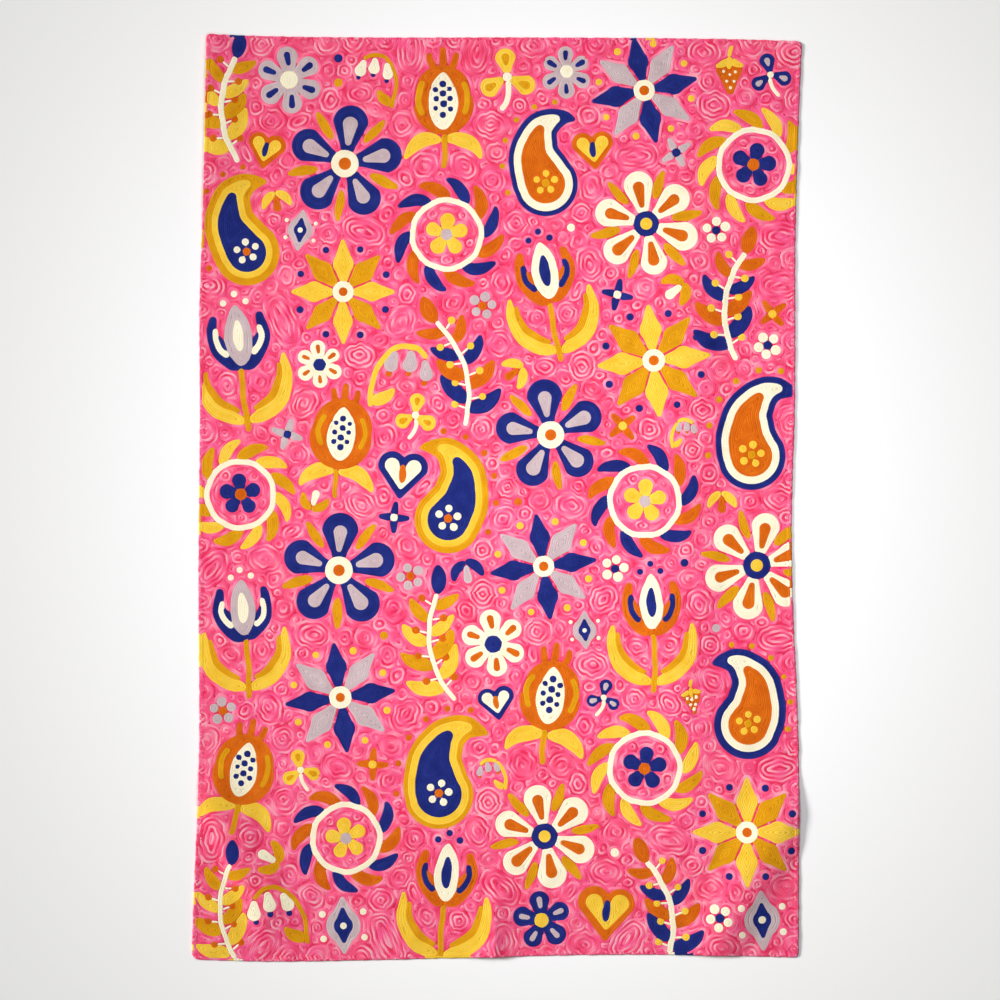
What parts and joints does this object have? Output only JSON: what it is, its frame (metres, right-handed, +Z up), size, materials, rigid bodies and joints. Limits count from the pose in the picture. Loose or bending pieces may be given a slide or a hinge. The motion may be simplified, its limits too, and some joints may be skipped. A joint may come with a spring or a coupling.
{
  "type": "wool rug",
  "caption": "Thin chain-stitched wool rug with a crowded folk flower design on a hot pink ground, lying flat with a few soft swells and a creased edge.",
  "frame": {"origin": "on the surface the rug lies on, under the middle of its outline", "axes": "+Z up out of the stitched face, +Y along the rug's long side towards its upper end in the picture, +X across it to the right"},
  "size_m": [1.2252, 1.8646, 0.0135],
  "materials": {
    "wool_pink": "hot pink wool chain stitch in curling rows, matt",
    "wool_cream": "cream wool chain stitch, matt",
    "wool_mustard": "mustard yellow wool chain stitch in a light and a dark tone, matt",
    "wool_navy": "navy blue wool chain stitch, matt",
    "wool_rust": "rust orange wool chain stitch, matt",
    "wool_lilac": "lilac grey wool chain stitch, matt",
    "cotton_ground": "plain woven natural cotton ground cloth, matt"
  },
  "bodies": {
    "root": {"rug": "wool_pink"}
  },
  "joints": []
}
